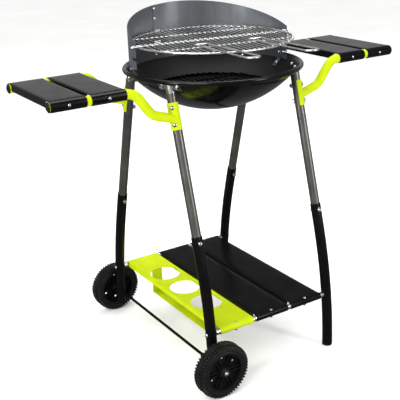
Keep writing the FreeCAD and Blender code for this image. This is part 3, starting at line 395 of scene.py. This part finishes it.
def makeSlat(name, node, tube, lip):
    # a grid of points along and across the sheet; the lips stop short of the rolled ends
    tubeSize, tubeHeight = tube
    low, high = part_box(node)
    middle = (low + high) / 2
    roll = high.z - tubeHeight
    halfSpan = (high.y - low.y) / 2 - roll
    lipEnd = halfSpan - tubeSize - slat["lipGap"] * mm
    near = slatRoll(halfSpan, roll, tubeHeight) + [(lipEnd * stop, high.z, True) for stop in slat["stops"]]
    line = near + [(-along, height, fold) for along, height, fold in reversed(near[:-1])]
    across = slatAcross((high.x - low.x) / 2 / mm, lip)
    lipRows = {0, 1, len(across) - 1, len(across) - 2}
    points = []
    index = {}
    for i, (along, height, fold) in enumerate(line):
        for j, (out, drop) in enumerate(across):
            if not fold and j in lipRows:
                continue
            index[i, j] = len(points)
            bend = drop * mm if fold else 0.0
            points.append((middle.x + out * mm, middle.y + along, height - bend))
    faces = []
    for i in range(len(line) - 1):
        for j in range(len(across) - 1):
            corner = [(i, j), (i, j + 1), (i + 1, j + 1), (i + 1, j)]
            if all(key in index for key in corner):
                faces.append([index[key] for key in corner])
    piece = makePiece(name, points, faces, "frame", "slat_black", node)
    upward = sum(face.normal.z * face.area for face in piece.data.polygons)
    solid = piece.modifiers.new("sheet", "SOLIDIFY")
    solid.thickness = slat["sheet"] * mm
    solid.offset = -1.0 if upward > 0 else 1.0      # the sheet grows inwards from its outer face
    solid.use_even_offset = True
    settle(piece)
    smoothShade(piece, slat["smoothAngle"])
    return piece


capLow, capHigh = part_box("side_arm_caps")
rodLow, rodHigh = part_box("shelf_rod_front")
armRadius = 12.0 * mm
armTube = (armRadius, (capLow.z + capHigh.z) / 2)
rodTube = ((rodHigh.z - rodLow.z) / 2, (rodHigh.z + rodLow.z) / 2)
for side in ("left", "right"):
    for place in ("inner", "outer"):
        spot = side + "_" + place
        makeSlat("folded_slat_" + spot, "side_slat_" + spot, armTube, slat["sideLip"])
for place in ("middle", "right"):
    makeSlat("folded_shelf_slat_" + place, "shelf_slat_" + place, rodTube, slat["shelfLip"])
print("slats made")


studio = {"floorSize": 60.0, "floorToneMm": 400, "white": 1.05, "target": (0.0, 0.03, 0.6),
          # how bright the room is to a reflection, by the height that the reflection points to
          "room": ((0.0, 0.17), (0.05, 0.50), (0.25, 0.55), (0.36, 0.10), (0.60, 0.16), (0.85, 0.30))}


def makeStage():
    bpy.ops.mesh.primitive_grid_add(x_subdivisions=8, y_subdivisions=8, size=studio["floorSize"])
    floor = bpy.context.object
    floor.name = "floor"
    material, tree, shader, place = startMaterial("matt white floor paint", {"Specular IOR Level": 0.2})
    tone = spotted(tree, place, studio["floorToneMm"], 2)
    tree.links.new(colourRange(tree, tone, "f4f4f3", "f8f8f7"), shader.inputs["Base Color"])
    tree.links.new(valueRange(tree, tone, 0.75, 0.85), shader.inputs["Roughness"])
    floor.data.materials.append(material)
    floor.visible_glossy = False    # the floor is bright, and glossy black should not mirror it


def makeWorld():
    # white to the eye and on matt surfaces; reflections see a dim room with a brighter
    # band low on its walls, as in a studio with a low backdrop
    world = bpy.data.worlds.new("studio")
    bpy.context.scene.world = world
    world.use_nodes = True
    tree = world.node_tree
    direction = addNode(tree, "ShaderNodeTexCoord").outputs["Generated"]
    up = addNode(tree, "ShaderNodeSeparateXYZ", None, {"Vector": direction}).outputs["Z"]
    room = addNode(tree, "ShaderNodeValToRGB", None, {"Fac": up}).outputs["Color"]
    ramp = room.node.color_ramp
    ramp.elements[0].position = studio["room"][0][0]
    ramp.elements[1].position = studio["room"][-1][0]
    for height, level in studio["room"][1:-1]:
        ramp.elements.new(height)
    for element, (height, level) in zip(ramp.elements, studio["room"]):
        element.color = (level, level, level, 1.0)
    path = addNode(tree, "ShaderNodeLightPath")
    colour = addNode(tree, "ShaderNodeMix", {"data_type": "RGBA"},
                     {"Factor": path.outputs["Is Glossy Ray"]})
    whiteIn, roomIn = [socket for socket in colour.inputs if socket.type == "RGBA"]
    whiteIn.default_value = (studio["white"], studio["white"], studio["white"], 1.0)
    tree.links.new(room, roomIn)
    made = [socket for socket in colour.outputs if socket.type == "RGBA"][0]
    tree.links.new(made, tree.nodes["Background"].inputs["Color"])


lamps = {
    "key": {"place": (-2.6, -1.8, 2.6), "size": (1.6, 1.6), "power": 60},
    "strip left": {"place": (-2.4, -0.4, 1.5), "size": (0.25, 1.8), "power": 26},
    "strip right": {"place": (1.2, -2.4, 1.5), "size": (0.30, 1.8), "power": 26},
    "top": {"place": (0.3, 0.6, 3.0), "size": (2.4, 1.4), "power": 45},
    "back right": {"place": (2.4, 1.4, 1.8), "size": (0.6, 1.6), "power": 25, "mirrored": False},
}


def makeLamp(name, look):
    lamp = bpy.data.lights.new(name, "AREA")
    lamp.shape = "RECTANGLE"
    lamp.size = look["size"][0]
    lamp.size_y = look["size"][1]
    lamp.energy = look["power"]     # watts
    holder = bpy.data.objects.new(name, lamp)
    bpy.context.scene.collection.objects.link(holder)
    holder.location = look["place"]
    holder.visible_glossy = look.get("mirrored", True)
    aim = Vector(studio["target"]) - Vector(look["place"])
    holder.rotation_euler = aim.to_track_quat("-Z", "Y").to_euler()


# place in metres, angles in degrees, lens in mm
view = {"place": (-1.1822, -1.7690, 1.2163), "yaw": 32.05, "down": 20.56, "roll": -1.99, "lens": 73.07}


def makeCamera():
    camera = bpy.data.cameras.new("camera")
    camera.lens = view["lens"]
    camera.sensor_width = 36.0
    holder = bpy.data.objects.new("camera", camera)
    bpy.context.scene.collection.objects.link(holder)
    turn = Matrix.Rotation(math.radians(-view["yaw"]), 4, "Z")
    tilt = Matrix.Rotation(math.radians(90 - view["down"]), 4, "X")
    roll = Matrix.Rotation(math.radians(view["roll"]), 4, "Z")
    holder.matrix_world = Matrix.Translation(view["place"]) @ turn @ tilt @ roll
    bpy.context.scene.camera = holder


makeStage()
makeWorld()
for name, look in lamps.items():
    makeLamp(name, look)
makeCamera()
bpy.context.scene.view_settings.view_transform = "Standard"
print("stage, lamps and camera set")
